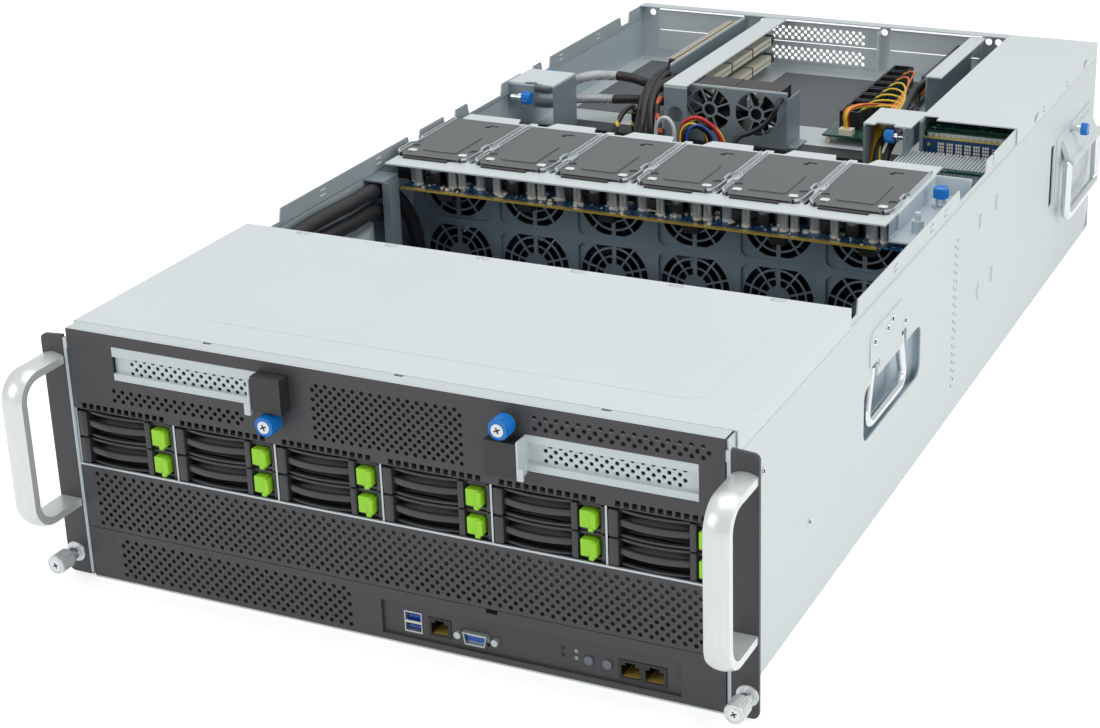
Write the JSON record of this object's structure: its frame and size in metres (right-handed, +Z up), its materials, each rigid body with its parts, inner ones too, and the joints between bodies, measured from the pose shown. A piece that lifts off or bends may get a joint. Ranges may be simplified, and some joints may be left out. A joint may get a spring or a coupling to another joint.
{
  "type": "rack server",
  "caption": "Four-unit rack server for accelerators with drive trays and grilles in front, a wall of fans across the middle, and risers and power supplies behind.",
  "frame": {"origin": "centre of the bounding box at the underside of the chassis floor", "axes": "+X to the right seen from the front, +Y from the front to the back, +Z up"},
  "size_m": [0.4826, 0.9574, 0.1755],
  "materials": {
    "light_steel": "light grey powder coat on sheet steel",
    "bright_steel": "bright plated sheet steel",
    "grey_steel": "mid grey plated sheet steel",
    "charcoal_paint": "matt charcoal paint",
    "satin_aluminium": "satin anodised aluminium",
    "blue_plastic": "blue moulded knob",
    "black_plastic": "matt black moulding",
    "dark_plastic": "dark grey sheet handle",
    "blue_board": "blue circuit board",
    "green_board": "green circuit board",
    "black_sleeve": "black braided sleeve",
    "tray_plastic": "dark tray with a lime green tab",
    "bail_chrome": "bright plated steel rod",
    "button_plastic": "grey button"
  },
  "bodies": {
    "chassis": {"chassis_floor": "light_steel", "side_walls": "light_steel", "rear_panel": "light_steel", "drive_cage": "bright_steel", "rack_ears": "charcoal_paint", "front_handles": "satin_aluminium", "thumbscrews": "blue_plastic", "front_cover": "light_steel", "rear_cover": "light_steel", "upper_bezel": "charcoal_paint", "middle_grille": "charcoal_paint", "tray_door": "charcoal_paint", "front_ports": "bright_steel", "slot_brackets": "light_steel", "fan_cage": "grey_steel", "fan_frames": "black_plastic", "fan_handles": "dark_plastic", "fan_board": "blue_board", "board_components": "black_plastic", "riser_brackets": "grey_steel", "riser_boards": "blue_board", "rear_shelf": "light_steel", "cable_sleeves": "black_sleeve", "gpu_baseboard": "blue_board", "motherboard": "blue_board", "heatsinks": "satin_aluminium", "memory_modules": "green_board", "power_supplies": "bright_steel"},
    "drive_tray_a1": {"drive_tray_a1": "tray_plastic"},
    "drive_tray_a2": {"drive_tray_a2": "tray_plastic"},
    "drive_tray_a3": {"drive_tray_a3": "tray_plastic"},
    "drive_tray_a4": {"drive_tray_a4": "tray_plastic"},
    "drive_tray_a5": {"drive_tray_a5": "tray_plastic"},
    "drive_tray_a6": {"drive_tray_a6": "tray_plastic"},
    "drive_tray_b1": {"drive_tray_b1": "tray_plastic"},
    "drive_tray_b2": {"drive_tray_b2": "tray_plastic"},
    "drive_tray_b3": {"drive_tray_b3": "tray_plastic"},
    "drive_tray_b4": {"drive_tray_b4": "tray_plastic"},
    "drive_tray_b5": {"drive_tray_b5": "tray_plastic"},
    "drive_tray_b6": {"drive_tray_b6": "tray_plastic"},
    "fan_rotor_a1": {"fan_rotor_a1": "black_plastic"},
    "fan_rotor_a2": {"fan_rotor_a2": "black_plastic"},
    "fan_rotor_a3": {"fan_rotor_a3": "black_plastic"},
    "fan_rotor_a4": {"fan_rotor_a4": "black_plastic"},
    "fan_rotor_a5": {"fan_rotor_a5": "black_plastic"},
    "fan_rotor_a6": {"fan_rotor_a6": "black_plastic"},
    "fan_rotor_b1": {"fan_rotor_b1": "black_plastic"},
    "fan_rotor_b2": {"fan_rotor_b2": "black_plastic"},
    "fan_rotor_b3": {"fan_rotor_b3": "black_plastic"},
    "fan_rotor_b4": {"fan_rotor_b4": "black_plastic"},
    "fan_rotor_b5": {"fan_rotor_b5": "black_plastic"},
    "fan_rotor_b6": {"fan_rotor_b6": "black_plastic"},
    "aux_rotor_1": {"aux_rotor_1": "black_plastic"},
    "aux_rotor_2": {"aux_rotor_2": "black_plastic"},
    "bail_front_left": {"bail_front_left": "bail_chrome"},
    "bail_front_right": {"bail_front_right": "bail_chrome"},
    "bail_rear_left": {"bail_rear_left": "bail_chrome"},
    "bail_rear_right": {"bail_rear_right": "bail_chrome"},
    "power_button": {"power_button": "button_plastic"},
    "id_button": {"id_button": "button_plastic"}
  },
  "joints": [
    {"name": "drive_tray_a1_slide", "type": "slide", "parent": "chassis", "child": "drive_tray_a1", "axis": [0, -1, 0], "range_m": [0, 0.135]},
    {"name": "drive_tray_a2_slide", "type": "slide", "parent": "chassis", "child": "drive_tray_a2", "axis": [0, -1, 0], "range_m": [0, 0.135]},
    {"name": "drive_tray_a3_slide", "type": "slide", "parent": "chassis", "child": "drive_tray_a3", "axis": [0, -1, 0], "range_m": [0, 0.135]},
    {"name": "drive_tray_a4_slide", "type": "slide", "parent": "chassis", "child": "drive_tray_a4", "axis": [0, -1, 0], "range_m": [0, 0.135]},
    {"name": "drive_tray_a5_slide", "type": "slide", "parent": "chassis", "child": "drive_tray_a5", "axis": [0, -1, 0], "range_m": [0, 0.135]},
    {"name": "drive_tray_a6_slide", "type": "slide", "parent": "chassis", "child": "drive_tray_a6", "axis": [0, -1, 0], "range_m": [0, 0.135]},
    {"name": "drive_tray_b1_slide", "type": "slide", "parent": "chassis", "child": "drive_tray_b1", "axis": [0, -1, 0], "range_m": [0, 0.135]},
    {"name": "drive_tray_b2_slide", "type": "slide", "parent": "chassis", "child": "drive_tray_b2", "axis": [0, -1, 0], "range_m": [0, 0.135]},
    {"name": "drive_tray_b3_slide", "type": "slide", "parent": "chassis", "child": "drive_tray_b3", "axis": [0, -1, 0], "range_m": [0, 0.135]},
    {"name": "drive_tray_b4_slide", "type": "slide", "parent": "chassis", "child": "drive_tray_b4", "axis": [0, -1, 0], "range_m": [0, 0.135]},
    {"name": "drive_tray_b5_slide", "type": "slide", "parent": "chassis", "child": "drive_tray_b5", "axis": [0, -1, 0], "range_m": [0, 0.135]},
    {"name": "drive_tray_b6_slide", "type": "slide", "parent": "chassis", "child": "drive_tray_b6", "axis": [0, -1, 0], "range_m": [0, 0.135]},
    {"name": "fan_rotor_a1_spin", "type": "hinge", "parent": "chassis", "child": "fan_rotor_a1", "pos_m": [-0.18315, 0.03755, 0.1378], "axis": [0, -1, 0], "continuous": true},
    {"name": "fan_rotor_a2_spin", "type": "hinge", "parent": "chassis", "child": "fan_rotor_a2", "pos_m": [-0.11506, 0.03755, 0.1378], "axis": [0, -1, 0], "continuous": true},
    {"name": "fan_rotor_a3_spin", "type": "hinge", "parent": "chassis", "child": "fan_rotor_a3", "pos_m": [-0.04696, 0.03755, 0.1378], "axis": [0, -1, 0], "continuous": true},
    {"name": "fan_rotor_a4_spin", "type": "hinge", "parent": "chassis", "child": "fan_rotor_a4", "pos_m": [0.02114, 0.03755, 0.1378], "axis": [0, -1, 0], "continuous": true},
    {"name": "fan_rotor_a5_spin", "type": "hinge", "parent": "chassis", "child": "fan_rotor_a5", "pos_m": [0.08923, 0.03755, 0.1378], "axis": [0, -1, 0], "continuous": true},
    {"name": "fan_rotor_a6_spin", "type": "hinge", "parent": "chassis", "child": "fan_rotor_a6", "pos_m": [0.15733, 0.03755, 0.1378], "axis": [0, -1, 0], "continuous": true},
    {"name": "fan_rotor_b1_spin", "type": "hinge", "parent": "chassis", "child": "fan_rotor_b1", "pos_m": [-0.18315, 0.03755, 0.0776], "axis": [0, -1, 0], "continuous": true},
    {"name": "fan_rotor_b2_spin", "type": "hinge", "parent": "chassis", "child": "fan_rotor_b2", "pos_m": [-0.11506, 0.03755, 0.0776], "axis": [0, -1, 0], "continuous": true},
    {"name": "fan_rotor_b3_spin", "type": "hinge", "parent": "chassis", "child": "fan_rotor_b3", "pos_m": [-0.04696, 0.03755, 0.0776], "axis": [0, -1, 0], "continuous": true},
    {"name": "fan_rotor_b4_spin", "type": "hinge", "parent": "chassis", "child": "fan_rotor_b4", "pos_m": [0.02114, 0.03755, 0.0776], "axis": [0, -1, 0], "continuous": true},
    {"name": "fan_rotor_b5_spin", "type": "hinge", "parent": "chassis", "child": "fan_rotor_b5", "pos_m": [0.08923, 0.03755, 0.0776], "axis": [0, -1, 0], "continuous": true},
    {"name": "fan_rotor_b6_spin", "type": "hinge", "parent": "chassis", "child": "fan_rotor_b6", "pos_m": [0.15733, 0.03755, 0.0776], "axis": [0, -1, 0], "continuous": true},
    {"name": "aux_rotor_1_spin", "type": "hinge", "parent": "chassis", "child": "aux_rotor_1", "pos_m": [-0.0546, 0.25375, 0.1512], "axis": [0, -1, 0], "continuous": true},
    {"name": "aux_rotor_2_spin", "type": "hinge", "parent": "chassis", "child": "aux_rotor_2", "pos_m": [-0.012, 0.25375, 0.1512], "axis": [0, -1, 0], "continuous": true},
    {"name": "bail_front_left_hinge", "type": "hinge", "parent": "chassis", "child": "bail_front_left", "pos_m": [-0.2208, -0.14325, 0.1105], "axis": [0, 1, 0], "range_deg": [0, 88]},
    {"name": "bail_front_right_hinge", "type": "hinge", "parent": "chassis", "child": "bail_front_right", "pos_m": [0.2208, -0.14325, 0.1105], "axis": [0, -1, 0], "range_deg": [0, 88]},
    {"name": "bail_rear_left_hinge", "type": "hinge", "parent": "chassis", "child": "bail_rear_left", "pos_m": [-0.233, 0.38675, 0.101], "axis": [0, 1, 0], "range_deg": [0, 88]},
    {"name": "bail_rear_right_hinge", "type": "hinge", "parent": "chassis", "child": "bail_rear_right", "pos_m": [0.233, 0.38675, 0.101], "axis": [0, -1, 0], "range_deg": [0, 88]},
    {"name": "power_button_press", "type": "slide", "parent": "chassis", "child": "power_button", "axis": [0, 1, 0], "range_m": [0, 0.0012], "stiffness_N_per_m": 400, "springref_m": -0.001},
    {"name": "id_button_press", "type": "slide", "parent": "chassis", "child": "id_button", "axis": [0, 1, 0], "range_m": [0, 0.0012], "stiffness_N_per_m": 400, "springref_m": -0.001}
  ]
}
